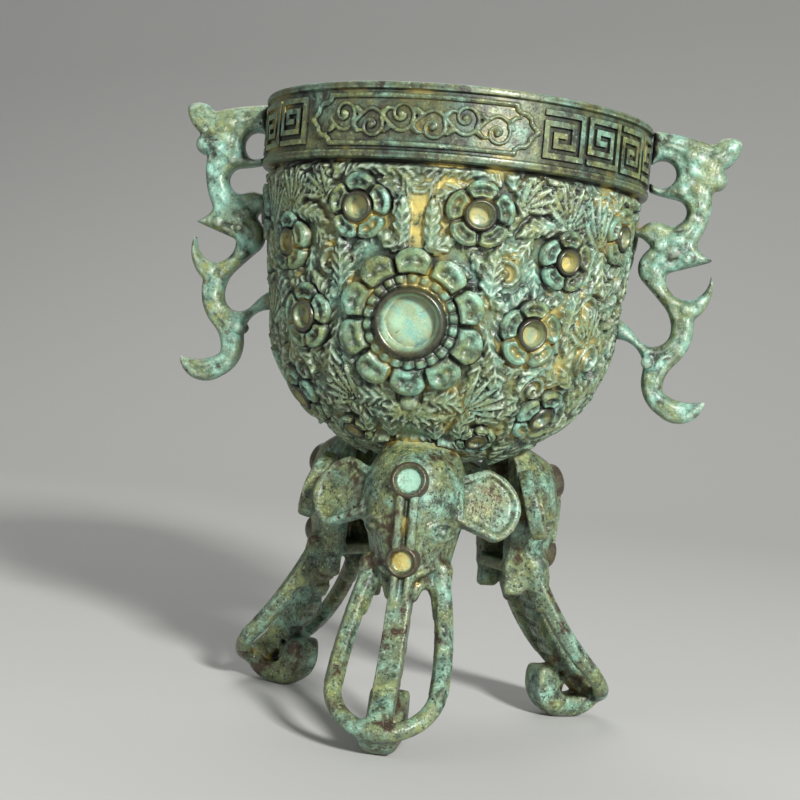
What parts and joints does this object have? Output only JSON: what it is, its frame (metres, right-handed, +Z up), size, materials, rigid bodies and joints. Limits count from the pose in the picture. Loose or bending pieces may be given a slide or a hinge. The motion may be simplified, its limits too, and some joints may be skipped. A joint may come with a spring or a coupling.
{
  "type": "tripod bronze wine cup",
  "caption": "Patinated bronze wine cup with a bullet-shaped flowered bowl, dragon-shaped openwork handles and elephant-head legs that stand on curled trunks.",
  "frame": {"origin": "on the table, under the middle of the cup's bounding box; the cup's own axis is 2.65 mm behind it", "axes": "+Z up through the mouth, +X towards the right handle, -Y towards the front leg and the flowered front"},
  "size_m": [0.116, 0.0854, 0.125],
  "materials": {
    "bowl_bronze": "cast bronze with relief, green patina with turquoise and ochre in the hollows",
    "handle_bronze": "cast bronze, green patina with dark worn edges",
    "leg_bronze": "smooth cast bronze, green patina with dark pits and a waxy sheen"
  },
  "bodies": {
    "root": {"back_rosette": "bowl_bronze", "bowl": "bowl_bronze", "front_leg_brow_bezel": "leg_bronze", "front_leg_head": "leg_bronze", "front_leg_left_ear": "leg_bronze", "front_leg_left_tusk": "leg_bronze", "front_leg_right_ear": "leg_bronze", "front_leg_right_tusk": "leg_bronze", "front_leg_snout_bezel": "leg_bronze", "front_leg_trunk": "leg_bronze", "front_rosette": "bowl_bronze", "left_handle": "handle_bronze", "left_leg_brow_bezel": "leg_bronze", "left_leg_head": "leg_bronze", "left_leg_left_ear": "leg_bronze", "left_leg_left_tusk": "leg_bronze", "left_leg_right_ear": "leg_bronze", "left_leg_right_tusk": "leg_bronze", "left_leg_snout_bezel": "leg_bronze", "left_leg_trunk": "leg_bronze", "right_handle": "handle_bronze", "right_leg_brow_bezel": "leg_bronze", "right_leg_head": "leg_bronze", "right_leg_left_ear": "leg_bronze", "right_leg_left_tusk": "leg_bronze", "right_leg_right_ear": "leg_bronze", "right_leg_right_tusk": "leg_bronze", "right_leg_snout_bezel": "leg_bronze", "right_leg_trunk": "leg_bronze", "side_left_flower": "bowl_bronze", "side_right_flower": "bowl_bronze", "upper_left_flower": "bowl_bronze", "upper_right_flower": "bowl_bronze"}
  },
  "joints": []
}
